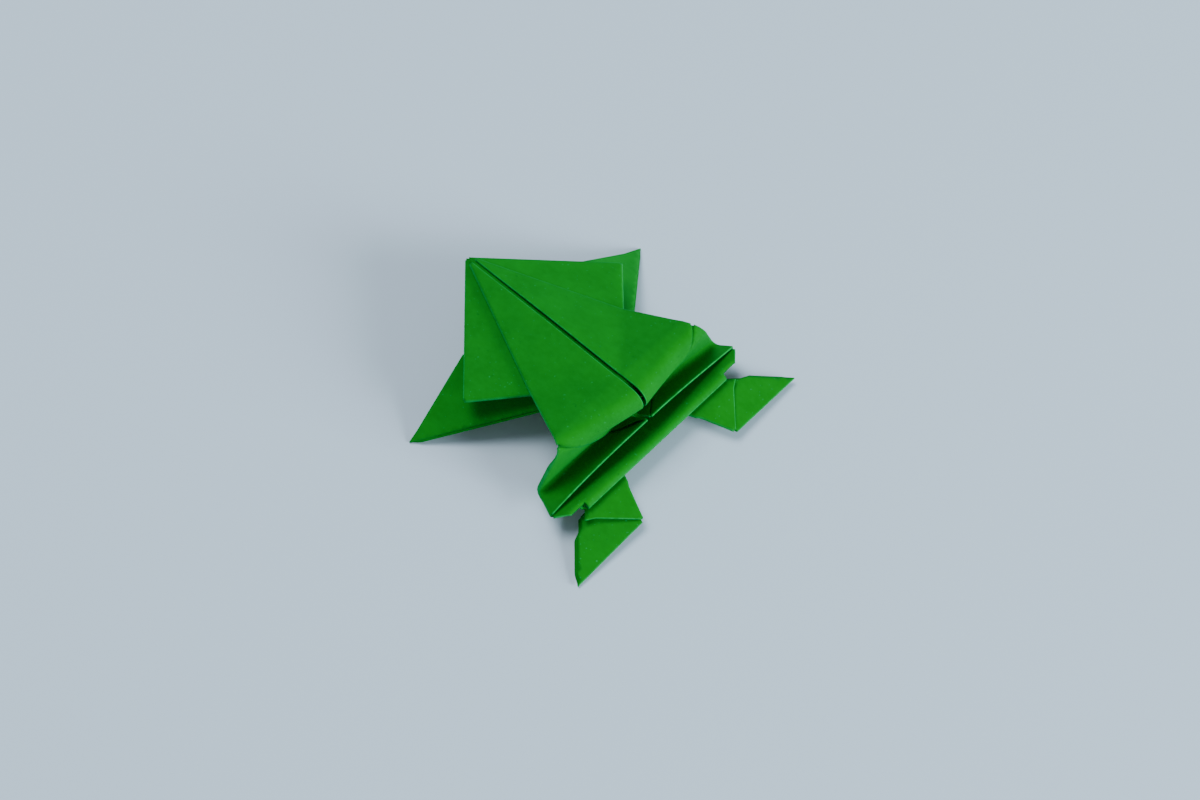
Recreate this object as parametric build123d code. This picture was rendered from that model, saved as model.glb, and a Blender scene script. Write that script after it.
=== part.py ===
"""A jumping frog folded from one sheet of paper that is twice as long as it is wide.

The frog is first laid out flat, as a stack of plies joined along their folds. The flat stack is then bent
into the standing frog. In the flat stack x runs across the frog, y runs from its tail to its nose and z is
up. The sheet's half width is H. Its two ends are folded as water bombs, so the flat frog is a square on its
corner, with its nose at (0, H) and its tail at (0, -H). Then:

* the upper layers' outer edges are folded over to the centre line, which makes the two flaps on the back;
* the four corners of the lower layers become legs, each folded to the nose or tail and then outwards;
* the tail is tucked under along y = -H / 2;
* the back is rolled over at y = 0 and turned out again behind it, which makes the spring.

Millimetres. +Z is up, +Y runs to the nose, and the origin is on the floor under the middle of the box.
"""

from build123d import *
import math
import os

# ---- the sheet
SHEET_WIDTH = 75.0
PAPER = 0.18  # thickness
PLY_GAP = 0.07  # of air, between one ply of the stack and the next
PITCH = PAPER + PLY_GAP

# ---- how far each kind of fold's centre lies inside its ideal line. The widest fold nested there is a half
# tube: its radius is 1.5 pitches at the kites, front legs and shins, and 3.5 at the tail and hind legs
KITE_INSET = 1.8 * PITCH
SLIT_INSET = 3 * PITCH
CENTRE_INSET = 1.36 * PITCH
EDGE_INSET = 1.2 * PITCH
FRONT_LEG_INSET = 2 * PITCH
REAR_LEG_INSET = 3.6 * PITCH
TAIL_INSET = 3.8 * PITCH
SHIN_INSET = 2 * PITCH
TUCK_INSET = 4 * PITCH
RAW_INSET = 0.08  # at the sheet's cut edges

# ---- the legs' outward creases, in degrees from the centre line, on the frog's right (+1) and left (-1)
FRONT_CREASE = {+1: 26.5, -1: 25.5}
REAR_CREASE = {+1: 22.5, -1: 22.5}
REAR_OPENING = {+1: 4.0, -1: 7.0}  # how far each hind shin hangs below its thigh

# ---- the bends: their angles in degrees, and their radii at the top ply
BACK_SLOPE = 2.5  # the nose is lower than the roll
CHEEK_SLOPE = 9.5  # each half of the front slopes down from the centre line
ROLL_AT = -2.4  # the roll's middle, along the flat frog
ROLL_HOLLOW = 0.55  # the roll's radius at its lowest ply, which is the front legs' lower shin
ROLL_ANGLE = 115.0
MID_PANEL = 4.1  # the straight drop between the two bends
PLEAT_RADIUS = 1.2
PLEAT_ANGLE = 140.0
SAG_RADIUS = 7.0
SAG_ANGLE = 32.0
SAG_AFTER = 0.5  # the sag starts this far behind the tucked tail

# ---- how many flat facets make each fold and bend
FOLD_FACETS = 4
ROLL_FACETS = 6
PLEAT_FACETS = 10
SAG_FACETS = 2
NEAR = 0.02  # a corner this close to a bend's line isn't cut off

ROLL_RADIUS = ROLL_HOLLOW + 13 * PITCH
H = SHEET_WIDTH / 2
NARROW = math.tan(math.radians(22.5))
NOSE = (0.0, H)
MIDDLE = (0.0, 0.0)
RUMP = (0.0, -H / 2)
WAIST = (H * NARROW, 0.0)
FLAP_END = (0.0, -H * NARROW)
HIP = (H * (1 - NARROW), -H * NARROW)
FRONT_ELBOW = (H / 2, H / 2)
REAR_ELBOW = (H / 2, -H / 2)
HALF_ROLL = ROLL_RADIUS * math.radians(ROLL_ANGLE) / 2  # of paper, at the top ply
ROLL_START = ROLL_AT + HALF_ROLL
CHEEK_REACH = FRONT_ELBOW[0] / (FRONT_ELBOW[1] - ROLL_START)  # the cheeks' creases run to the elbows


def mirrored(point):
    return -point[0], point[1]


def crossing(a, b, c, d):
    """Where the line a-b meets the line c-d."""
    rx, ry, sx, sy = b[0] - a[0], b[1] - a[1], d[0] - c[0], d[1] - c[1]
    t = ((c[0] - a[0]) * sy - (c[1] - a[1]) * sx) / (rx * sy - ry * sx)
    return a[0] + t * rx, a[1] + t * ry


class Vertex:
    """A point of the paper's middle surface, and the unit normal on the paper's outer side."""

    def __init__(self, at, normal):
        self.at = at
        self.normal = normal

    def key(self):
        return tuple(round(c, 4) for c in self.at)

    def towards(self, other, share):
        at = tuple(a + (b - a) * share for a, b in zip(self.at, other.at))
        normal = tuple(a + (b - a) * share for a, b in zip(self.normal, other.normal))
        size = math.hypot(*normal)
        return Vertex(at, tuple(c / size for c in normal))


class Hinge:
    """A leg's outward crease: an axis from the frog's middle, and a shin that hangs down about it."""

    def __init__(self, tip, knee, height, opening):
        length = math.hypot(*knee)
        self.along = (knee[0] / length, knee[1] / length)
        across = (self.along[1], -self.along[0])
        side = math.copysign(1, across[0] * tip[0] + across[1] * tip[1])
        self.across = (across[0] * side, across[1] * side)
        self.base = SHIN_INSET
        self.height = height
        self.opening = math.radians(opening)

    def turned(self, vertex, share=1.0):
        """The vertex after this share of the shin's opening."""
        x, y, z = vertex.at
        reach = x * self.along[0] + y * self.along[1]
        out = x * self.across[0] + y * self.across[1] - self.base
        out, up = self._turn(out, z - self.height, share)
        at = self._place(reach, out + self.base) + (up + self.height,)
        nx, ny, nz = vertex.normal
        reach, out = nx * self.along[0] + ny * self.along[1], nx * self.across[0] + ny * self.across[1]
        out, up = self._turn(out, nz, share)
        return Vertex(at, self._place(reach, out) + (up,))

    def _turn(self, out, up, share):
        sine, cosine = math.sin(self.opening * share), math.cos(self.opening * share)
        return out * cosine + up * sine, up * cosine - out * sine

    def _place(self, reach, out):
        x = reach * self.along[0] + out * self.across[0]
        y = reach * self.along[1] + out * self.across[1]
        return x, y


class Ply:
    """A flat convex piece of the sheet between folds. Its outline is a list of (corner, name of the edge
    that starts there, the edge's inset). level counts plies down from the top, and outer is +1 where the
    paper's outer side is up."""

    def __init__(self, level, outer, outline, side=+1, hinge=None):
        if side < 0:
            ends = [corner for corner, _, _ in outline[1:] + outline[:1]]
            outline = [(mirrored(end), name, inset) for end, (_, name, inset) in zip(ends, outline)][::-1]
        self.outer = outer
        self.z = -level * PITCH
        self.hinge = hinge
        corners = [corner for corner, _, _ in outline]
        nexts = corners[1:] + corners[:1]
        lines = [inset_line(a, b, inset) for a, b, (_, _, inset) in zip(corners, nexts, outline)]
        ends = [crossing(*lines[i - 1], *lines[i]) for i in range(len(lines))]
        self.edges = {line[1]: [ends[i], ends[(i + 1) % len(ends)]] for i, line in enumerate(outline)}

    def vertices(self):
        points = []
        for edge in self.edges.values():
            points += [p for p in edge if not points or math.dist(p, points[-1]) > 1e-6]
        points = points[:-1] if math.dist(points[0], points[-1]) < 1e-6 else points
        found = [Vertex((x, y, self.z), (0.0, 0.0, self.outer)) for x, y in points]
        return [self.hinge.turned(v) for v in found] if self.hinge else found

    def cell(self):
        found = self.vertices()
        return found if self.outer > 0 else found[::-1]


def inset_line(a, b, inset):
    """The line a-b, moved to its left."""
    length = math.dist(a, b)
    dx, dy = -(b[1] - a[1]) / length * inset, (b[0] - a[0]) / length * inset
    return (a[0] + dx, a[1] + dy), (b[0] + dx, b[1] + dy)


def fold(a, name, b, other_name=None):
    """The cells that join two plies along their edges of this name: half a tube, between the plies' levels.
    Both edges get the tube's ends as points. Where only the second ply hangs on a hinge, the tube opens."""
    edge, other_edge = a.edges[name], b.edges[other_name or name]
    p, q = edge[0], edge[-1]
    length = math.dist(p, q)
    run = ((q[0] - p[0]) / length, (q[1] - p[1]) / length)

    def reach(point):
        return (point[0] - p[0]) * run[0] + (point[1] - p[1]) * run[1]

    other = [reach(other_edge[0]), reach(other_edge[-1])]
    ends = [max(0.0, min(other)), min(length, max(other))]
    ends = [(p[0] + run[0] * t, p[1] + run[1] * t) for t in ends]
    merge(edge, ends, reach)
    merge(other_edge, ends, reach)
    out = (run[1], -run[0])
    radius = (a.z - b.z) / 2
    facing = a.outer * math.copysign(1, radius)
    rows = []
    for i in range(FOLD_FACETS + 1):
        turn = math.pi * i / FOLD_FACETS
        bulge, rise = abs(radius) * math.sin(turn), radius * math.cos(turn)
        normal = tuple(facing * c for c in (out[0] * math.sin(turn), out[1] * math.sin(turn)))
        normal += (a.outer * math.cos(turn),)
        z = (a.z + b.z) / 2 + rise
        row = [Vertex((x + out[0] * bulge, y + out[1] * bulge, z), normal) for x, y in ends]
        rows.append([opened(v, a, b, i / FOLD_FACETS) for v in row])
    cells = [[v, x, y, w] for (v, w), (x, y) in zip(rows, rows[1:])]
    return cells if a.outer > 0 else [cell[::-1] for cell in cells]


def merge(edge, points, reach):
    """Puts the points into the edge, in order along it."""
    backwards = reach(edge[0]) > reach(edge[-1])
    edge += [p for p in points if all(math.dist(p, e) > 1e-6 for e in edge)]
    edge.sort(key=reach, reverse=backwards)


def opened(vertex, a, b, share):
    """The vertex of a fold from a to b, turned with the shin that b or both belong to."""
    if a.hinge:
        return a.hinge.turned(vertex)
    return b.hinge.turned(vertex, share) if b.hinge else vertex


# ---- the flat frog


def half(side):
    """The plies that the frog has one of on each side, from the top down."""
    slit = (NOSE, "slit", SLIT_INSET)
    end = (FLAP_END, "end", EDGE_INSET)
    front_kite = (WAIST, "kite", KITE_INSET)
    rear_kite = (HIP, "kite", KITE_INSET)
    rear_raw = (WAIST, "raw", RAW_INSET)
    front_centre = (NOSE, "centre", CENTRE_INSET)
    rear_centre = (MIDDLE, "centre", CENTRE_INSET)
    tail = (RUMP, "tail", TAIL_INSET)
    front_web = [front_centre, (MIDDLE, "leg", FRONT_LEG_INSET), (FRONT_ELBOW, "edge", EDGE_INSET)]
    tucked = [rear_centre, tail, (REAR_ELBOW, "edge", TUCK_INSET)]
    hip = (REAR_ELBOW, "hip", EDGE_INSET)
    outlines = {
        "front flap": (0, +1, [slit, (FLAP_END, "raw", RAW_INSET), front_kite]),
        "rear flap": (0, +1, [end, rear_kite, rear_raw]),
        "flap": (1, -1, [slit, end, rear_kite]),
        "front lining": (3, -1, [front_centre, (MIDDLE, "raw", RAW_INSET), front_kite]),
        "rear lining": (3, -1, [rear_centre, tail, hip, rear_kite, rear_raw]),
        "front web": (4, +1, front_web),
        "rear web": (4, +1, [rear_centre, tail, (REAR_ELBOW, "leg", REAR_LEG_INSET)]),
        "tucked web": (7, -1, tucked),
        "tucked lining": (8, +1, tucked),
    }
    return {name: Ply(level, outer, outline, side) for name, (level, outer, outline) in outlines.items()}


def whole():
    """The plies that reach across the frog."""
    outlines = {
        "back": (
            2,
            +1,
            [
                (NOSE, "kite -1", KITE_INSET),
                (mirrored(HIP), "hip -1", EDGE_INSET),
                (mirrored(REAR_ELBOW), "tail", TAIL_INSET),
                (REAR_ELBOW, "hip +1", EDGE_INSET),
                (HIP, "kite +1", KITE_INSET),
            ],
        ),
        "front floor": (
            5,
            -1,
            [
                (NOSE, "edge -1", EDGE_INSET),
                (mirrored(FRONT_ELBOW), "leg -1", FRONT_LEG_INSET),
                (MIDDLE, "leg +1", FRONT_LEG_INSET),
                (FRONT_ELBOW, "edge +1", EDGE_INSET),
            ],
        ),
        "rear floor": (5, -1, across_tail("leg", REAR_LEG_INSET)),
        "tucked floor": (6, +1, across_tail("edge", TUCK_INSET)),
        "tucked back": (9, -1, across_tail("edge", TUCK_INSET)),
    }
    return {name: Ply(level, outer, outline) for name, (level, outer, outline) in outlines.items()}


def across_tail(name, inset):
    """A triangle from the frog's middle to the tail."""
    return [
        (MIDDLE, f"{name} -1", inset),
        (mirrored(REAR_ELBOW), "tail", TAIL_INSET),
        (REAR_ELBOW, f"{name} +1", inset),
    ]


def leg(end, side, level, crease, opening):
    """A leg's thigh and shin, of two plies each. end is +1 for a front leg, and level is the level of the
    thigh's upper ply."""
    crease = math.radians(crease)
    tip = (H * math.sin(2 * crease), end * H * math.cos(2 * crease))
    elbow = (H / 2, end * H / 2)
    knee = crossing(MIDDLE, (math.sin(crease), end * math.cos(crease)), (0.0, end * H), elbow)
    inset = FRONT_LEG_INSET if end > 0 else REAR_LEG_INSET
    thigh = [(MIDDLE, "leg", inset), (elbow, "calf", EDGE_INSET), (knee, "crease", SHIN_INSET)]
    shin = [(MIDDLE, "raw", RAW_INSET), (tip, "calf", EDGE_INSET), (knee, "crease", SHIN_INSET)]
    if end < 0:
        thigh = [(MIDDLE, "crease", SHIN_INSET), (knee, "calf", EDGE_INSET), (elbow, "leg", inset)]
        shin = [(MIDDLE, "crease", SHIN_INSET), (knee, "calf", EDGE_INSET), (tip, "raw", RAW_INSET)]
    height = -(level + 1.5) * PITCH
    hinge = Hinge((side * tip[0], tip[1]), (side * knee[0], knee[1]), height, opening)
    return {
        "upper thigh": Ply(level, +1, thigh, side),
        "lower thigh": Ply(level + 1, -1, thigh, side),
        "upper shin": Ply(level + 2, +1, shin, side, hinge),
        "lower shin": Ply(level + 3, -1, shin, side, hinge),
    }


def leg_cells(plies, web, floor, side):
    """A leg's plies and folds, with the two folds that join it to its web and floor."""
    folds = fold(web, "leg", plies["lower thigh"])
    folds += fold(floor, f"leg {side:+d}", plies["upper thigh"], "leg")
    folds += fold(plies["upper thigh"], "calf", plies["lower thigh"])
    folds += fold(plies["lower thigh"], "crease", plies["upper shin"])
    folds += fold(plies["upper thigh"], "crease", plies["lower shin"])
    folds += fold(plies["upper shin"], "calf", plies["lower shin"])
    return folds


def half_folds(own, shared, side):
    """The folds between one side's plies, and to the plies that reach across."""
    at = f" {side:+d}"
    folds = fold(own["front flap"], "slit", own["flap"]) + fold(own["rear flap"], "end", own["flap"])
    folds += fold(own["flap"], "kite", shared["back"], "kite" + at)
    folds += fold(own["front flap"], "kite", own["front lining"])
    folds += fold(own["rear flap"], "kite", own["rear lining"])
    folds += fold(own["front lining"], "centre", own["front web"])
    folds += fold(own["rear lining"], "centre", own["rear web"])
    folds += fold(own["front web"], "edge", shared["front floor"], "edge" + at)
    folds += fold(own["rear lining"], "hip", shared["back"], "hip" + at)
    folds += fold(own["rear lining"], "tail", own["tucked lining"])
    folds += fold(own["rear web"], "tail", own["tucked web"])
    folds += fold(own["tucked web"], "centre", own["tucked lining"])
    folds += fold(own["tucked web"], "edge", shared["tucked floor"], "edge" + at)
    folds += fold(own["tucked lining"], "edge", shared["tucked back"], "edge" + at)
    return folds


def flat_frog(front_opening):
    """Every cell of the flat stack, with the front shins opened by these angles."""
    shared = whole()
    folds = fold(shared["back"], "tail", shared["tucked back"])
    folds += fold(shared["rear floor"], "tail", shared["tucked floor"])
    plies = list(shared.values())
    for side in (+1, -1):
        own = half(side)
        folds += half_folds(own, shared, side)
        front = leg(+1, side, 6, FRONT_CREASE[side], front_opening[side])
        rear = leg(-1, side, 10, REAR_CREASE[side], REAR_OPENING[side])
        folds += leg_cells(front, own["front web"], shared["front floor"], side)
        folds += leg_cells(rear, own["rear web"], shared["rear floor"], side)
        plies += [*own.values(), *front.values(), *rear.values()]
    return folds + [ply.cell() for ply in plies]


# ---- the bends


def bends():
    """Each bend as (the y it starts at, the y it ends at, its turn in radians, its facets)."""
    pleat_start = ROLL_AT - HALF_ROLL - MID_PANEL
    pleat_end = pleat_start - PLEAT_RADIUS * math.radians(PLEAT_ANGLE)
    sag_start = -H / 2 - SAG_AFTER
    sag_end = sag_start - SAG_RADIUS * math.radians(SAG_ANGLE)
    return [
        (ROLL_START, ROLL_AT - HALF_ROLL, math.radians(ROLL_ANGLE), ROLL_FACETS),
        (pleat_start, pleat_end, -math.radians(PLEAT_ANGLE), PLEAT_FACETS),
        (sag_start, sag_end, math.radians(SAG_ANGLE), SAG_FACETS),
    ]


def stood(point):
    """Where a point of the flat stack comes when the stack is bent."""
    x, y, z = point
    z -= math.tan(math.radians(CHEEK_SLOPE)) * min(abs(x), CHEEK_REACH * max(y - ROLL_START, 0.0))
    heading = -math.radians(BACK_SLOPE)
    at, back, up = 2 * H, -2 * H, 0.0
    for start, end, turn, _ in bends():
        if y >= start:
            break
        back, up = walked(back, up, heading, at - start)
        share = min(1.0, (start - y) / (start - end))
        radius = (start - end) / turn
        new_heading = heading + turn * share
        back += radius * (math.sin(new_heading) - math.sin(heading))
        up += radius * (math.cos(new_heading) - math.cos(heading))
        heading = new_heading
        at = start + (end - start) * share
    back, up = walked(back, up, heading, at - y)
    return x, -back - math.sin(heading) * z, up + math.cos(heading) * z


def walked(back, up, heading, distance):
    return back + math.cos(heading) * distance, up - math.sin(heading) * distance


def cut(cells, a, b, c):
    """Every cell, cut where it crosses the upright plane a x + b y = c."""
    found = []
    for cell in cells:
        sides = [a * v.at[0] + b * v.at[1] - c for v in cell]
        if min(sides) > -NEAR or max(sides) < NEAR:
            found.append(cell)
            continue
        low, high = [], []
        for i, v in enumerate(cell):
            j = (i + 1) % len(cell)
            if sides[i] < NEAR:
                low.append(v)
            if sides[i] > -NEAR:
                high.append(v)
            if min(sides[i], sides[j]) < -NEAR and max(sides[i], sides[j]) > NEAR:
                between = v.towards(cell[j], sides[i] / (sides[i] - sides[j]))
                low.append(between)
                high.append(between)
        found += [low, high]
    return found


def bent_cells(cells):
    """The cells, cut along every line where the bends change."""
    for start, end, _, facets in bends():
        for i in range(facets + 1):
            cells = cut(cells, 0, 1, start + (end - start) * i / facets)
    cells = cut(cells, 1, 0, 0)
    front = [cell for cell in cells if sum(v.at[1] for v in cell) > ROLL_START * len(cell)]
    rear = [cell for cell in cells if sum(v.at[1] for v in cell) <= ROLL_START * len(cell)]
    for a in (1, -1):
        front = cut(front, a, CHEEK_REACH, CHEEK_REACH * ROLL_START)
    return rear + front


# ---- the solid


def skin(vertex, side):
    """The point of the paper's outer (+1) or inner (-1) face at a vertex."""
    return stood(tuple(a + n * side * PAPER / 2 for a, n in zip(vertex.at, vertex.normal)))


def normal(points):
    """An outline's normal, as long as twice its area."""
    x, y, z = 0.0, 0.0, 0.0
    for p, q in zip(points, points[1:] + points[:1]):
        x += p[1] * q[2] - p[2] * q[1]
        y += p[2] * q[0] - p[0] * q[2]
        z += p[0] * q[1] - p[1] * q[0]
    return x, y, z


def is_flat(points):
    n = normal(points)
    size = math.hypot(*n)
    return all(abs(sum((a - b) * c for a, b, c in zip(p, points[0], n))) < 1e-6 * size for p in points)


def triangles(points):
    """The corners of an outline, three at a time: the best-shaped ear is cut off until three are left."""
    left = list(range(len(points)))
    found = []
    while len(left) > 3:
        best = max(range(len(left)), key=lambda i: ear_quality(points, left, i))
        found.append([left[best - 1], left[best], left[(best + 1) % len(left)]])
        del left[best]
    return found + [left]


def ear_quality(points, left, i):
    a, b, c = (points[left[j % len(left)]] for j in (i - 1, i, i + 1))
    rest = [points[j] for j in left[:i] + left[i + 1 :]]
    longest = max(math.dist(a, b), math.dist(b, c), math.dist(c, a))
    return min(math.hypot(*normal([a, b, c])), math.hypot(*normal(rest))) / longest**2


def patches(cell):
    """The corner numbers of each flat face that a cell needs."""
    flat = all(is_flat([skin(v, side) for v in cell]) for side in (+1, -1))
    return [list(range(len(cell)))] if flat else triangles([v.at for v in cell])


def outlines(cells):
    """The outline of every face of the solid: the paper's two faces, and its edge."""
    found = []
    used = {}
    for cell in cells:
        for patch in patches(cell):
            found.append([skin(cell[i], +1) for i in patch])
            found.append([skin(cell[i], -1) for i in reversed(patch)])
        for v, w in zip(cell, cell[1:] + cell[:1]):
            used[v.key(), w.key()] = (v, w)
    for (a, b), (v, w) in used.items():
        if (b, a) not in used:
            wall = [skin(v, +1), skin(v, -1), skin(w, -1), skin(w, +1)]
            found += [wall] if is_flat(wall) else [wall[:3], wall[2:] + wall[:1]]
    return found


def lowest(cells):
    return min(skin(v, side)[2] for cell in cells for v in cell for side in (+1, -1))


def reaching_opening(side, floor):
    """How far, in degrees, a front shin opens until its tip is at this height."""
    closed, open_ = 0.0, 90.0
    for _ in range(40):
        opening = (closed + open_) / 2
        shin = leg(+1, side, 6, FRONT_CREASE[side], opening)["lower shin"]
        closed, open_ = (opening, open_) if lowest([shin.vertices()]) > floor else (closed, opening)
    return opening


def folded_sheet():
    """The solid, with its front shins opened until their tips rest on the floor."""
    floor = lowest(bent_cells(flat_frog({+1: 0.0, -1: 0.0})))
    opening = {side: reaching_opening(side, floor) for side in (+1, -1)}
    found = outlines(bent_cells(flat_frog(opening)))
    low = [min(p[i] for outline in found for p in outline) for i in range(3)]
    high = [max(p[i] for outline in found for p in outline) for i in range(3)]
    origin = ((low[0] + high[0]) / 2, (low[1] + high[1]) / 2, low[2])
    found.sort(key=lambda outline: -math.hypot(*normal(outline)))
    faces = []
    for outline in found:
        corners = [Vector(*(c - o for c, o in zip(p, origin))) for p in outline]
        faces.append(Face(Wire.make_polygon(corners, close=True)))
    return Solid(Shell(faces))


os.makedirs("parts", exist_ok=True)
export_step(folded_sheet(), "parts/folded_sheet.step")
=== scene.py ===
"""The folded frog as paper: a fine mesh of the sheet in place of the CAD's plain one, its material, and
the studio.

The sheet has the CAD's fold sequence: flat plies in a stack, joined by half-tube folds, and then bent.
Its paper is thinner, its roll is tighter, and its flaps stand off the back at the slit. Lengths are in
millimetres until the mesh is made. In the flat stack x runs across the frog, y from its tail to its nose,
and z up.
"""

import math

import bpy
import numpy as np
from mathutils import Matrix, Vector
from mathutils.geometry import delaunay_2d_cdt


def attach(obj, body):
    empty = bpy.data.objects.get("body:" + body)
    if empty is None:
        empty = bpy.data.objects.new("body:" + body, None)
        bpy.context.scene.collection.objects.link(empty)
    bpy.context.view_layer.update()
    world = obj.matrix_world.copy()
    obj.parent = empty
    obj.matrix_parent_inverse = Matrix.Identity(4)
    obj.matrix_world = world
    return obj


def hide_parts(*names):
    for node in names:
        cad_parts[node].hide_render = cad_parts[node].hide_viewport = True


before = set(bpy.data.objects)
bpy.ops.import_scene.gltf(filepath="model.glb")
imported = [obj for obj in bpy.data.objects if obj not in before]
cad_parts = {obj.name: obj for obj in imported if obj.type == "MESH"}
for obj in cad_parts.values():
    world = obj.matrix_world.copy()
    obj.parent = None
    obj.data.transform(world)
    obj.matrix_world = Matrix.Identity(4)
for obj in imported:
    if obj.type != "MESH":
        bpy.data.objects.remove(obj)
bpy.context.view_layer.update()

# ---- the sheet, the spacing of its plies, and how far each edge of a ply is moved in to leave room for
# its fold
SHEET_WIDTH = 75.0
PAPER = 0.11
PITCH = 0.25
KITE_INSET = 0.45
SLIT_INSET = 0.5
CENTRE_INSET = 0.34
EDGE_INSET = 0.3
FRONT_LEG_INSET = 0.5
REAR_LEG_INSET = 0.9
TAIL_INSET = 0.95
SHIN_INSET = 0.5
TUCK_INSET = 1.0
RAW_INSET = 0.08
KITE_ANGLE = 22.5  # the kite folds', from the centre line at the nose

# ---- the legs, on the frog's right (+1) and left (-1): the crease's angle from the centre line and how
# far the shin hangs down about it, in degrees, and the level of the thigh's upper ply
FRONT_CREASE = {+1: 26.5, -1: 25.5}
REAR_CREASE = {+1: 22.5, -1: 22.5}
FRONT_OPENING = {+1: 28.5, -1: 28.8}
REAR_OPENING = {+1: 4.0, -1: 7.0}
FRONT_LEG_LEVEL = 6
REAR_LEG_LEVEL = 10

# ---- loose cut edges: how far each one moves, how far in the move reaches, and over what length it fades
# at a fold
SHIN_SLIDE = {+1: 0.2, -1: 0.45}
SHIN_REACH = 6.0
SHIN_FADE = 1.5
CURL = {+1: 0.2, -1: 0.45}
CURL_REACH = 2.5
CURL_FADE = 1.0

# ---- the bends, in degrees, and their radii at the top ply: the back's, and the flaps' where they meet
# at the slit. A skew or twist is the change for each millimetre across.
BACK_SLOPE = 2.5
CHEEK_SLOPE = 9.5
CHEEK_START = 1.41
ROLL_RADIUS = 1.9
BACK_ROLL_START = 0.7
BACK_ROLL_SKEW = -0.045
BACK_ROLL_ANGLE = 99.75
BACK_ROLL_TWIST = 0.113
BACK_MID_PANEL = 7.95
BACK_MID_SKEW = -0.016
PLEAT_RADIUS = 0.8
RUMP_SLOPE = -24.0
FLAP_ROLL_START = -1.58
FLAP_ROLL_ANGLE = 119.0
FLAP_MID_PANEL = 4.1
FLAP_END_SLOPE = -47.5
RUMP_ROUND_START = -16.3
RUMP_ROUND_RADIUS = 4.0
RUMP_ROUND_ANGLE = 20.0
SAG_START = -19.25
SAG_RADIUS = 7.0
SAG_ANGLE = 12.0
ORIGIN = (0.389, 11.319, -11.583)

# ---- the stack is squeezed at the roll by this share, from full to none over these distances from the
# roll's ends
SQUEEZE = 0.5
SQUEEZE_NEAR = 0.5
SQUEEZE_FAR = 3.5

# ---- the flaps' lift at the slit: all of it behind this y, and none past the roll's end by the fade
FLAP_LIFT = 0.6
FLAP_LIFT_FROM = 15.0
FLAP_LIFT_FADE = 3.0
NARROWEST = 0.5  # near the nose, a flap narrower than this takes less of its share

# ---- the mesh
EDGE_STEP = 0.45
ACROSS_STEP = 1.0
RIM_GAP = 0.22
FOLD_ROWS = 8

# ---- the wear and painted highlight along a fold, a lighter teal, most at its middle
WEAR_AND_HIGHLIGHT_PEAK = 1.2
WEAR_AND_HIGHLIGHT_HEIGHT = 0.4

# ---- the camera's place and heading, in metres
EYE = (-0.0975, -0.0992, 0.2445)
TOWARD = (0.350, 0.338, -0.8735)

H = SHEET_WIDTH / 2
NARROW = math.tan(math.radians(KITE_ANGLE))
NOSE = (0.0, H)
MIDDLE = (0.0, 0.0)
RUMP = (0.0, -H / 2)
WAIST = (H * NARROW, 0.0)
FLAP_END = (0.0, -H * NARROW)
HIP = (H * (1 - NARROW), -H * NARROW)
FRONT_ELBOW = (H / 2, H / 2)
REAR_ELBOW = (H / 2, -H / 2)
CHEEK_REACH = FRONT_ELBOW[0] / (FRONT_ELBOW[1] - CHEEK_START)

# Rows of points inside a ply, as (from y, to y, step): close together where the stack bends.
ROWS = [
    (H, 3.0, 1.1),
    (3.0, -6.5, 0.32),
    (-6.5, -9.0, 0.6),
    (-9.0, -13.6, 0.25),
    (-13.6, -18.5, 0.8),
    (-18.5, -24.0, 0.6),
    (-24.0, -H, 1.1),
]


def smooth(edge0, edge1, value):
    """0 up to edge0 and 1 from edge1, with 3t^2 - 2t^3 between."""
    t = np.clip((value - edge0) / (edge1 - edge0), 0, 1)
    return t * t * (3 - 2 * t)


# ---- the flat frog


def mirrored(point):
    """The same point on the frog's other side."""
    return -point[0], point[1]


def crossing(a, b, c, d):
    """Where the line a-b meets the line c-d."""
    rx, ry, sx, sy = b[0] - a[0], b[1] - a[1], d[0] - c[0], d[1] - c[1]
    t = ((c[0] - a[0]) * sy - (c[1] - a[1]) * sx) / (rx * sy - ry * sx)
    return a[0] + t * rx, a[1] + t * ry


def inset_line(a, b, inset):
    """The line a-b, moved to its left."""
    length = math.dist(a, b)
    dx, dy = -(b[1] - a[1]) / length * inset, (b[0] - a[0]) / length * inset
    return (a[0] + dx, a[1] + dy), (b[0] + dx, b[1] + dy)


class Hinge:
    """A leg's outward crease: an axis from the frog's middle, and a shin that hangs down about it."""

    def __init__(self, tip, knee, height, opening):
        length = math.hypot(*knee)
        self.along = np.array((knee[0] / length, knee[1] / length, 0.0))
        across = np.array((self.along[1], -self.along[0], 0.0))
        self.across = across * math.copysign(1, across[0] * tip[0] + across[1] * tip[1])
        self.height = height
        self.opening = math.radians(opening)

    def turned(self, points, share=1.0):
        """Points turned about the axis by this share of the opening: a point that is out from the axis
        and up from it goes to out cos + up sin, and up cos - out sin."""
        reach = points @ self.along
        out = points @ self.across - SHIN_INSET
        up = points[..., 2] - self.height
        sine, cosine = math.sin(self.opening * share), math.cos(self.opening * share)
        out, up = out * cosine + up * sine + SHIN_INSET, up * cosine - out * sine + self.height
        upright = np.array((0, 0, 1.0))
        return reach[..., None] * self.along + out[..., None] * self.across + up[..., None] * upright


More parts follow.
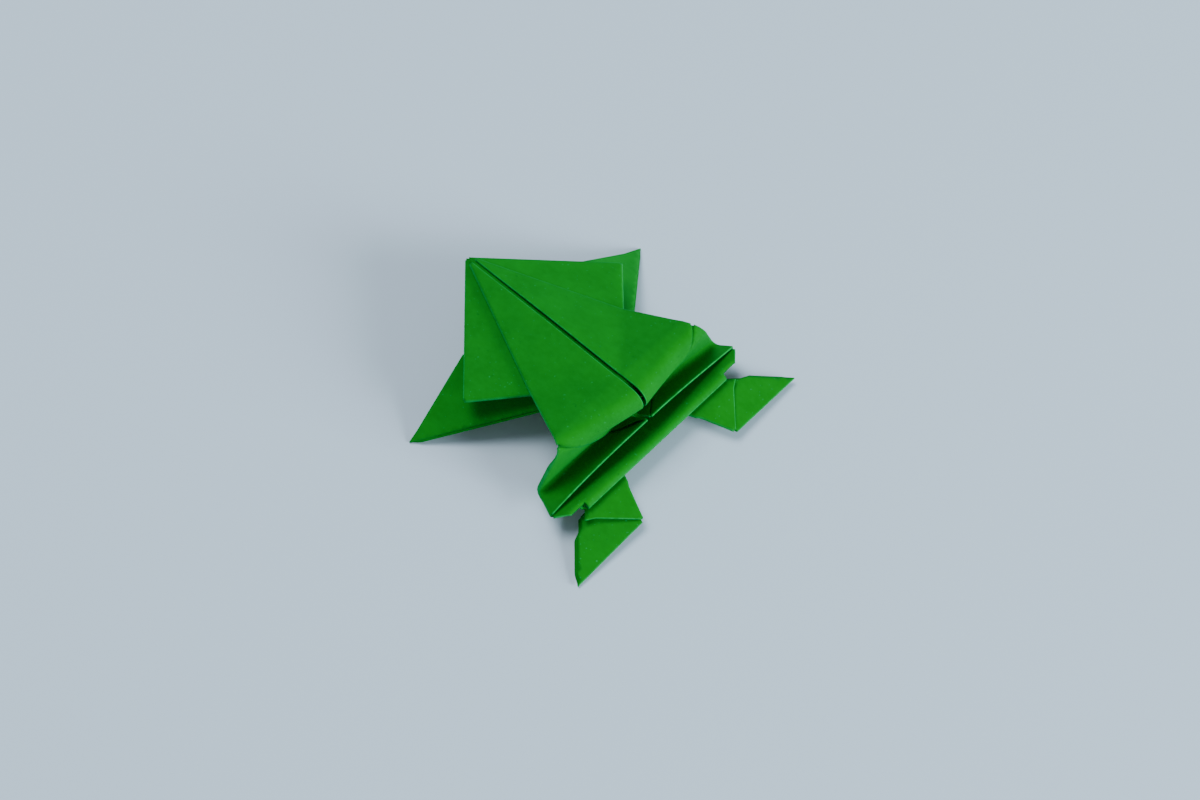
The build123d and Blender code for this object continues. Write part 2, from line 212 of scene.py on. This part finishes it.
class Ply:
    """A flat convex piece of the sheet between folds. Its outline is a list of (corner, name of the edge
    that starts there, the edge's inset). level counts plies down from the top, and outer is +1 where the
    paper's outer side is up. loose is how far its cut edge slides out and rises, how far in that reaches,
    and its fade at a fold."""

    def __init__(self, level, outer, outline, side=+1, hinge=None, loose=None):
        if side < 0:
            ends = [corner for corner, _, _ in outline[1:] + outline[:1]]
            outline = [(mirrored(end), name, inset) for end, (_, name, inset) in zip(ends, outline)][::-1]
        self.outer = outer
        self.z = -level * PITCH
        self.hinge = hinge
        self.loose = loose
        corners = [corner for corner, _, _ in outline]
        lines = [inset_line(a, b, line[2]) for a, b, line in zip(corners, corners[1:] + corners[:1], outline)]
        ends = [crossing(*lines[i - 1], *lines[i]) for i in range(len(lines))]
        self.edges = {line[1]: [ends[i], ends[(i + 1) % len(ends)]] for i, line in enumerate(outline)}


def fold_ends(a, name, b, other_name):
    """The stretch that two plies' edges share, which is added to both."""
    edge, other_edge = a.edges[name], b.edges[other_name]
    p, q = edge[0], edge[-1]
    length = math.dist(p, q)
    run = ((q[0] - p[0]) / length, (q[1] - p[1]) / length)

    def reach(point):
        return (point[0] - p[0]) * run[0] + (point[1] - p[1]) * run[1]

    other = [reach(other_edge[0]), reach(other_edge[-1])]
    ends = [max(0.0, min(other)), min(length, max(other))]
    ends = [(p[0] + run[0] * t, p[1] + run[1] * t) for t in ends]
    for line in (edge, other_edge):
        line += [e for e in ends if all(math.dist(e, c) > 1e-6 for c in line)]
        line.sort(key=reach)
    return ends, run


def divided(p, q):
    """Points from p to q, in equal steps of about EDGE_STEP."""
    steps = max(1, math.ceil(math.dist(p, q) / EDGE_STEP - 1e-6))
    share = np.linspace(0, 1, steps + 1)[:, None]
    return np.array(p) * (1 - share) + np.array(q) * share


def fold(a, name, b, other_name=None):
    """The strip between two plies: around the fold the angle t goes from 0 to pi, and a point is on the
    edge plus r sin t outwards, at the middle height plus r cos t. Returns its grid of points, and whether
    to flip it. A fold onto a hinged ply turns with the hinge, row by row."""
    ends, run = fold_ends(a, name, b, other_name or name)
    line = divided(*ends)
    turn = np.linspace(0, np.pi, FOLD_ROWS + 1)[:, None]
    radius = (a.z - b.z) / 2
    bulge = abs(radius) * np.sin(turn)
    x = line[:, 0] + run[1] * bulge
    y = line[:, 1] - run[0] * bulge
    z = (a.z + b.z) / 2 + radius * np.cos(turn) + 0 * x
    grid = np.stack([x, y, z], axis=-1)
    if a.hinge:
        grid = a.hinge.turned(grid)
    elif b.hinge:
        grid = np.stack([b.hinge.turned(row, i / FOLD_ROWS) for i, row in enumerate(grid)])
    return grid, a.outer < 0


def half(side):
    """The plies that the frog has one of on each side."""
    up = [(NOSE, "centre", CENTRE_INSET), (MIDDLE, "leg", FRONT_LEG_INSET), (FRONT_ELBOW, "edge", EDGE_INSET)]
    down = [(MIDDLE, "centre", CENTRE_INSET), (RUMP, "tail", TAIL_INSET), (REAR_ELBOW, "leg", REAR_LEG_INSET)]
    tucked = down[:2] + [(REAR_ELBOW, "edge", TUCK_INSET)]
    raw = (WAIST, "raw", RAW_INSET)
    slit = (NOSE, "slit", SLIT_INSET)
    end = (FLAP_END, "end", EDGE_INSET)
    kite = (HIP, "kite", KITE_INSET)
    waist = (WAIST, "kite", KITE_INSET)
    hip = (REAR_ELBOW, "hip", EDGE_INSET)
    outlines = {
        "front flap": (0, +1, [slit, (FLAP_END, "raw", RAW_INSET), waist]),
        "rear flap": (0, +1, [end, kite, raw]),
        "flap": (1, -1, [slit, end, kite]),
        "front lining": (3, -1, [(NOSE, "centre", CENTRE_INSET), (MIDDLE, "raw", RAW_INSET), waist]),
        "rear lining": (3, -1, down[:2] + [hip, kite, raw]),
        "front web": (4, +1, up),
        "rear web": (4, +1, down),
        "tucked web": (7, -1, tucked),
        "tucked lining": (8, +1, tucked),
    }
    plies = {name: Ply(level, outer, outline, side) for name, (level, outer, outline) in outlines.items()}
    plies["front flap"].loose = (0.0, CURL[side], CURL_REACH, CURL_FADE)
    return plies


def whole():
    """The plies that reach across the frog."""
    back = [
        (NOSE, "kite -1", KITE_INSET),
        (mirrored(HIP), "hip -1", EDGE_INSET),
        (mirrored(REAR_ELBOW), "tail", TAIL_INSET),
        (REAR_ELBOW, "hip +1", EDGE_INSET),
        (HIP, "kite +1", KITE_INSET),
    ]
    floor = [
        (NOSE, "edge -1", EDGE_INSET),
        (mirrored(FRONT_ELBOW), "leg -1", FRONT_LEG_INSET),
        (MIDDLE, "leg +1", FRONT_LEG_INSET),
        (FRONT_ELBOW, "edge +1", EDGE_INSET),
    ]
    return {
        "back": Ply(2, +1, back),
        "front floor": Ply(5, -1, floor),
        "rear floor": Ply(5, -1, across_tail("leg", REAR_LEG_INSET)),
        "tucked floor": Ply(6, +1, across_tail("edge", TUCK_INSET)),
        "tucked back": Ply(9, -1, across_tail("edge", TUCK_INSET)),
    }


def across_tail(name, inset):
    """A triangle from the frog's middle to the tail."""
    return [
        (MIDDLE, f"{name} -1", inset),
        (mirrored(REAR_ELBOW), "tail", TAIL_INSET),
        (REAR_ELBOW, f"{name} +1", inset),
    ]


def leg(end, side, level, crease, opening):
    """A leg's thigh and shin, of two plies each. end is +1 for a front leg, and level is the thigh's
    upper ply. The hinge lies midway between the thigh's lower ply and the shin's upper one."""
    crease = math.radians(crease)
    tip = (H * math.sin(2 * crease), end * H * math.cos(2 * crease))
    elbow = (H / 2, end * H / 2)
    knee = crossing(MIDDLE, (math.sin(crease), end * math.cos(crease)), (0.0, end * H), elbow)
    inset = FRONT_LEG_INSET if end > 0 else REAR_LEG_INSET
    thigh = [(MIDDLE, "leg", inset), (elbow, "calf", EDGE_INSET), (knee, "crease", SHIN_INSET)]
    shin = [(MIDDLE, "raw", RAW_INSET), (tip, "calf", EDGE_INSET), (knee, "crease", SHIN_INSET)]
    if end < 0:
        thigh = [(MIDDLE, "crease", SHIN_INSET), (knee, "calf", EDGE_INSET), (elbow, "leg", inset)]
        shin = [(MIDDLE, "crease", SHIN_INSET), (knee, "calf", EDGE_INSET), (tip, "raw", RAW_INSET)]
    height = -(level + 1.5) * PITCH
    hinge = Hinge((side * tip[0], tip[1]), (side * knee[0], knee[1]), height, opening)
    return {
        "upper thigh": Ply(level, +1, thigh, side),
        "lower thigh": Ply(level + 1, -1, thigh, side),
        "upper shin": Ply(level + 2, +1, shin, side, hinge),
        "lower shin": Ply(level + 3, -1, shin, side, hinge, (SHIN_SLIDE[side], 0.0, SHIN_REACH, SHIN_FADE)),
    }


def leg_folds(plies, web, floor, side):
    """A leg's strips: two to the body's web and floor, two at the calf, and two around the hinge."""
    return [
        fold(web, "leg", plies["lower thigh"]),
        fold(floor, f"leg {side:+d}", plies["upper thigh"], "leg"),
        fold(plies["upper thigh"], "calf", plies["lower thigh"]),
        fold(plies["lower thigh"], "crease", plies["upper shin"]),
        fold(plies["upper thigh"], "crease", plies["lower shin"]),
        fold(plies["upper shin"], "calf", plies["lower shin"]),
    ]


def half_folds(own, shared, side):
    """The strips of one side of the body, with those that join it to the plies across the frog."""
    at = f" {side:+d}"
    return [
        fold(own["front flap"], "slit", own["flap"]),
        fold(own["rear flap"], "end", own["flap"]),
        fold(own["flap"], "kite", shared["back"], "kite" + at),
        fold(own["front flap"], "kite", own["front lining"]),
        fold(own["rear flap"], "kite", own["rear lining"]),
        fold(own["front lining"], "centre", own["front web"]),
        fold(own["rear lining"], "centre", own["rear web"]),
        fold(own["front web"], "edge", shared["front floor"], "edge" + at),
        fold(own["rear lining"], "hip", shared["back"], "hip" + at),
        fold(own["rear lining"], "tail", own["tucked lining"]),
        fold(own["rear web"], "tail", own["tucked web"]),
        fold(own["tucked web"], "centre", own["tucked lining"]),
        fold(own["tucked web"], "edge", shared["tucked floor"], "edge" + at),
        fold(own["tucked lining"], "edge", shared["tucked back"], "edge" + at),
    ]


def flat_frog():
    """Every ply, and every fold's strip."""
    shared = whole()
    strips = [
        fold(shared["back"], "tail", shared["tucked back"]),
        fold(shared["rear floor"], "tail", shared["tucked floor"]),
    ]
    plies = list(shared.values())
    for side in (+1, -1):
        own = half(side)
        strips += half_folds(own, shared, side)
        front = leg(+1, side, FRONT_LEG_LEVEL, FRONT_CREASE[side], FRONT_OPENING[side])
        rear = leg(-1, side, REAR_LEG_LEVEL, REAR_CREASE[side], REAR_OPENING[side])
        strips += leg_folds(front, own["front web"], shared["front floor"], side)
        strips += leg_folds(rear, own["rear web"], shared["rear floor"], side)
        plies += [*own.values(), *front.values(), *rear.values()]
    return plies, strips


# ---- its mesh


def loosened(ply, flat):
    """A ply's points at its level. Those at a distance d from a loose cut edge, within its reach, slide
    outwards and rise by the share (1 - d / reach)^2, which fades to nothing at the ply's folds."""
    found = np.column_stack([flat, np.full(len(flat), ply.z)])
    if not ply.loose:
        return found
    slide, rise, reach, fade = ply.loose
    share = np.ones(len(flat))
    for name, edge in ply.edges.items():
        a, b = np.array(edge[0]), np.array(edge[-1])
        run = (b - a) / math.dist(a, b)
        step = flat - a
        depth = np.maximum(run[0] * step[:, 1] - run[1] * step[:, 0], 0)
        if name == "raw":
            out = np.array((run[1], -run[0]))
            share = share * np.clip(1 - depth / reach, 0, 1) ** 2
        else:
            share = share * smooth(0, fade, depth)
    found[:, :2] += out * slide * share[:, None]
    found[:, 2] += rise * share
    return found


def ply_mesh(ply):
    """A ply's points and triangles: its outline in steps of EDGE_STEP, and staggered rows of points
    inside, which keep RIM_GAP from every side."""
    outline = [divided(a, b)[:-1] for edge in ply.edges.values() for a, b in zip(edge, edge[1:])]
    outline = np.concatenate(outline)
    rows = [np.linspace(a, b, math.ceil((a - b) / step), endpoint=False) for a, b, step in ROWS]
    x, y = np.meshgrid(np.arange(-H, H, ACROSS_STEP), np.concatenate(rows))
    x = x + (np.arange(len(x))[:, None] % 2) * ACROSS_STEP / 2
    inside = np.stack([x.ravel(), y.ravel()], axis=-1)
    run = np.roll(outline, -1, axis=0) - outline
    length = np.hypot(run[:, 0], run[:, 1])
    step = inside[:, None, :] - outline[None]
    depth = (run[:, 0] * step[..., 1] - run[:, 1] * step[..., 0]) / np.maximum(length, 1e-9)
    points = np.concatenate([outline, inside[depth.min(axis=1) > RIM_GAP]])
    order = np.arange(len(outline))
    rim = np.column_stack([order, np.roll(order, -1)])
    verts, _, faces, *_ = delaunay_2d_cdt(points.tolist(), rim.tolist(), [], 1, 1e-6)
    found = loosened(ply, np.array(verts))
    if ply.hinge:
        found = ply.hinge.turned(found)
    faces = np.array(faces)
    return found, faces if ply.outer > 0 else faces[:, ::-1], np.zeros(len(found))


def strip_mesh(grid, flip):
    """A strip's points, each cell of its grid as two triangles, and its wear and painted highlight, kept
    between 0
    and 1: WEAR_AND_HIGHLIGHT_PEAK less the fold's height times the share of the way from its middle to its
    rims, over WEAR_AND_HIGHLIGHT_HEIGHT."""
    rows, columns = grid.shape[:2]
    index = np.arange(rows * columns).reshape(rows, columns)
    a, b, c, d = index[:-1, :-1], index[1:, :-1], index[1:, 1:], index[:-1, 1:]
    faces = np.concatenate([np.stack([a, b, c], -1).reshape(-1, 3), np.stack([a, c, d], -1).reshape(-1, 3)])
    height = abs(grid[0, 0, 2] - grid[-1, 0, 2])
    worn_and_lit = np.clip(WEAR_AND_HIGHLIGHT_PEAK - height * np.abs(np.linspace(-1, 1, rows)) / WEAR_AND_HIGHLIGHT_HEIGHT, 0, 1)
    return grid.reshape(-1, 3), faces[:, ::-1] if flip else faces, np.repeat(worn_and_lit, columns)


def joined(parts):
    """One mesh of all the parts, with points that agree to a thousandth of a millimetre made one."""
    starts = np.cumsum([0] + [len(points) for points, _, _ in parts[:-1]])
    points = np.concatenate([points for points, _, _ in parts])
    worn_and_lit = np.concatenate([worn_and_lit for _, _, worn_and_lit in parts])
    faces = np.concatenate([faces + start for (_, faces, _), start in zip(parts, starts)])
    _, first, where = np.unique(np.round(points, 3), axis=0, return_index=True, return_inverse=True)
    faces = where.ravel()[faces]
    real = (faces[:, 0] != faces[:, 1]) & (faces[:, 1] != faces[:, 2]) & (faces[:, 2] != faces[:, 0])
    return points[first], faces[real], worn_and_lit[first]


def flap_share(x, y, z):
    """0 on the kite folds and everywhere below the flaps, growing with the distance from the fold to 1 at
    the slit."""
    sine, cosine = math.sin(math.radians(KITE_ANGLE)), math.cos(math.radians(KITE_ANGLE))
    across = (H - y) * sine - KITE_INSET
    share = np.clip((across - np.abs(x) * cosine) / np.maximum(across, NARROWEST), 0, 1)
    return np.where(z > -1.5 * PITCH, share, 0)


def squeezed(x, y, z, share, start, end):
    """The heights in the stack: pressed together at the roll, the flaps lifted at the slit, and the
    cheeks sloped down by the distance from the centre line, which is counted up to the cheek's crease."""
    near_roll = smooth(end - SQUEEZE_FAR, end - SQUEEZE_NEAR, y)
    near_roll = near_roll * (1 - smooth(start + SQUEEZE_NEAR, start + SQUEEZE_FAR, y))
    z = z * (1 - SQUEEZE * near_roll)
    z = z + FLAP_LIFT * share * smooth(H, FLAP_LIFT_FROM, y) * smooth(end - FLAP_LIFT_FADE, end, y)
    out = np.minimum(np.abs(x), CHEEK_REACH * np.maximum(y - CHEEK_START, 0))
    return z - math.tan(math.radians(CHEEK_SLOPE)) * out


def stood(points):
    """The points after the stack is bent. Along y the stack follows straights and arcs. An arc of radius
    r turns its heading from h0 to h1, which moves it by r (sin h1 - sin h0) back and r (cos h1 - cos h0)
    up. The flaps have an arc of their own at the slit, mixed with the back's by flap_share."""
    x, y, z = points.T
    flaps = flap_share(x, y, z)
    roll_start = (BACK_ROLL_START + BACK_ROLL_SKEW * x) * (1 - flaps) + FLAP_ROLL_START * flaps
    roll_turn = np.radians((BACK_ROLL_ANGLE + BACK_ROLL_TWIST * x) * (1 - flaps) + FLAP_ROLL_ANGLE * flaps)
    middle = (BACK_MID_PANEL + BACK_MID_SKEW * x) * (1 - flaps) + FLAP_MID_PANEL * flaps
    slope = np.radians(RUMP_SLOPE * (1 - flaps) + FLAP_END_SLOPE * flaps)
    first = -math.radians(BACK_SLOPE)
    roll_end = roll_start - ROLL_RADIUS * roll_turn
    z = squeezed(x, y, z, flaps, roll_start, roll_end)
    bends = [
        (roll_start, ROLL_RADIUS, roll_turn),
        (roll_end - middle, -PLEAT_RADIUS, -(first + roll_turn - slope)),
        (RUMP_ROUND_START, RUMP_ROUND_RADIUS, math.radians(RUMP_ROUND_ANGLE)),
        (SAG_START, SAG_RADIUS, math.radians(SAG_ANGLE)),
    ]
    heading = np.full_like(y, first)
    at = np.full_like(y, 2 * H)
    back = np.full_like(y, -2 * H)
    up = np.zeros_like(y)
    for start, radius, turn in bends:
        stop = np.minimum(np.maximum(y, start), at)
        back, up, at = back + np.cos(heading) * (at - stop), up - np.sin(heading) * (at - stop), stop
        share = np.clip((start - y) / (radius * turn), 0, 1)
        turned = heading + turn * share
        back = back + radius * (np.sin(turned) - np.sin(heading))
        up = up + radius * (np.cos(turned) - np.cos(heading))
        at = np.where(share > 0, start - radius * turn * share, at)
        heading = turned
    back, up = back + np.cos(heading) * (at - y), up - np.sin(heading) * (at - y)
    return np.stack([x, -back - np.sin(heading) * z, up + np.cos(heading) * z], axis=-1)


def paper_frog(material):
    """The sheet's middle surface, thickened to the paper. What would reach below the floor is lifted onto
    it."""
    plies, strips = flat_frog()
    parts = [ply_mesh(ply) for ply in plies] + [strip_mesh(*strip) for strip in strips]
    flat, faces, worn_and_lit = joined(parts)
    points = stood(flat) - ORIGIN
    points[:, 2] = np.maximum(points[:, 2], PAPER / 2)
    mesh = bpy.data.meshes.new("paper_frog")
    mesh.from_pydata((points / 1000).tolist(), [], faces.tolist())
    # the folds' share of wear and painted highlight, for the material
    mesh.attributes.new("wear_and_highlight", "FLOAT", "POINT").data.foreach_set("value", worn_and_lit)
    mesh.shade_smooth()
    mesh.materials.append(material)
    frog = bpy.data.objects.new("paper_frog", mesh)
    bpy.context.scene.collection.objects.link(frog)
    thicken = frog.modifiers.new("thickness", "SOLIDIFY")
    thicken.thickness = PAPER / 1000
    thicken.offset = 0
    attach(frog, "root")
    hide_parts("folded_sheet")


# ---- its material


class Value:
    """A shader socket that + and * work on."""

    def __init__(self, tree, socket):
        self.tree = tree
        self.socket = socket

    @classmethod
    def node(cls, tree, kind, settings, sockets, output=0):
        """A new node: its settings first, then its sockets. Returns one output."""
        made = tree.nodes.new(kind)
        for name, setting in settings.items():
            setattr(made, name, setting)
        feed(made, sockets)
        return cls(tree, made.outputs[output])

    def __add__(self, other):
        return self.node(self.tree, "ShaderNodeMath", {"operation": "ADD"}, {0: self, 1: other})

    def __mul__(self, other):
        return self.node(self.tree, "ShaderNodeMath", {"operation": "MULTIPLY"}, {0: self, 1: other})

    __radd__ = __add__
    __rmul__ = __mul__

    def between(self, low, high):
        """0 up to low and 1 from high, with a smooth step between."""
        sockets = {"Value": self, "From Min": low, "From Max": high}
        return self.node(self.tree, "ShaderNodeMapRange", {"interpolation_type": "SMOOTHSTEP"}, sockets)

    def mix(self, colour, other):
        """From one colour at 0 to the other at 1. A Mix node's colours are its inputs 6 and 7 and its
        output 2."""
        return self.node(self.tree, "ShaderNodeMix", {"data_type": "RGBA"}, {0: self, 6: colour, 7: other}, 2)


def feed(node, sockets):
    """Gives each of a node's sockets its value or its link."""
    for key, value in sockets.items():
        if isinstance(value, Value):
            value.tree.links.new(value.socket, node.inputs[key])
        else:
            node.inputs[key].default_value = value


def noise(tree, scale, detail, stretch=(1, 1, 1)):
    """Noise in the piece's own space, in metres, with its features drawn out where stretch is small."""
    place = Value.node(tree, "ShaderNodeTexCoord", {}, {}, "Object")
    turned = {"Vector": place, "Scale": stretch, "Rotation": (0.3, 0.2, 0.7)}
    place = Value.node(tree, "ShaderNodeMapping", {}, turned, "Vector")
    sockets = {"Vector": place, "Scale": scale, "Detail": detail}
    return Value.node(tree, "ShaderNodeTexNoise", {}, sockets, "Fac")


def paper_material(name):
    """Green craft paper, dyed through: cloudy dye, a tooth of fibres, pale fibre specks, and worn folds,
    whose lighter teal is partly wear and partly a painted highlight.
    """
    material = bpy.data.materials.new(name)
    material.use_nodes = True
    tree = material.node_tree
    clouds = noise(tree, 260, 4)
    tooth = noise(tree, 4200, 3)
    fibres = noise(tree, 1300, 5, (1, 0.6, 1))
    specks = noise(tree, 2600, 1).between(0.735, 0.78)
    dark = noise(tree, 1100, 2).between(0.70, 0.76)
    wear_and_highlight = Value.node(tree, "ShaderNodeAttribute", {"attribute_name": "wear_and_highlight"}, {}, "Fac")
    paper_colour = clouds.between(0.3, 0.7).mix((0.0, 0.143, 0.002, 1), (0.0, 0.163, 0.004, 1))
    paper_colour = (0.25 * fibres.between(0.35, 0.7)).mix(paper_colour, (0.0, 0.2, 0.01, 1))
    paper_colour = (0.35 * dark).mix(paper_colour, (0.0, 0.08, 0.001, 1))
    # the folds are mixed toward a lighter teal, most at their middles: partly real wear, partly a painted
    # highlight on the fold edges
    paper_colour = (wear_and_highlight * (0.2 + 0.4 * fibres.between(0.3, 0.6))).mix(paper_colour, (0.003, 0.32, 0.07, 1))
    paper_colour = (0.4 * specks).mix(paper_colour, (0.02, 0.4, 0.12, 1))
    height = 0.5 * tooth + 0.9 * fibres + 1.4 * clouds
    bump = Value.node(tree, "ShaderNodeBump", {}, {"Strength": 0.35, "Distance": 0.00006, "Height": height})
    finish = {
        "Base Color": paper_colour,
        "Roughness": 0.68 + 0.1 * clouds,
        "Normal": bump,
        "Specular IOR Level": 0.2,
        "Specular Tint": (0.02, 1, 0.45, 1),
        "Sheen Weight": 0.08,
        "Sheen Roughness": 0.6,
        "Sheen Tint": (0.02, 1, 0.4, 1),
    }
    feed(tree.nodes["Principled BSDF"], finish)
    return material


# ---- the studio


def tabletop():
    """The pale blue surface that the frog stands on."""
    bpy.ops.mesh.primitive_plane_add(size=3)
    floor = bpy.context.object
    floor.name = "floor"
    pale = bpy.data.materials.new("floor")
    pale.use_nodes = True
    feed(pale.node_tree.nodes["Principled BSDF"], {"Base Color": (0.48, 0.62, 0.75, 1), "Roughness": 0.9})
    floor.data.materials.append(pale)


def camera():
    """A 50 mm camera that looks down at the frog from behind its left."""
    made = bpy.data.objects.new("camera", bpy.data.cameras.new("camera"))
    bpy.context.scene.collection.objects.link(made)
    made.data.lens = 50
    made.data.clip_start = 0.01
    made.location = EYE
    made.rotation_euler = Vector(TOWARD).to_track_quat("-Z", "Y").to_euler()
    bpy.context.scene.camera = made


def daylight():
    """The room's even light, and its two lamps."""
    world = bpy.data.worlds.new("world")
    bpy.context.scene.world = world
    world.use_nodes = True
    feed(world.node_tree.nodes["Background"], {"Color": (0.93, 0.96, 1, 1), "Strength": 0.3})
    lamp("window", (0.28, -1.0, 0.38), 0.45, 21, (0.86, 0.95, 1))
    lamp("ceiling", (-0.05, 0.4, 1.1), 0.6, 12, (0.97, 0.98, 1))


def lamp(name, place, size, power, colour):
    """A square lamp that faces the frog."""
    light = bpy.data.lights.new(name, "AREA")
    light.energy = power
    light.size = size
    light.color = colour
    stand = bpy.data.objects.new(name, light)
    stand.location = place
    stand.rotation_euler = (Vector((0, 0, 0)) - stand.location).to_track_quat("-Z", "Y").to_euler()
    bpy.context.scene.collection.objects.link(stand)


paper_frog(paper_material("paper"))
tabletop()
camera()
daylight()
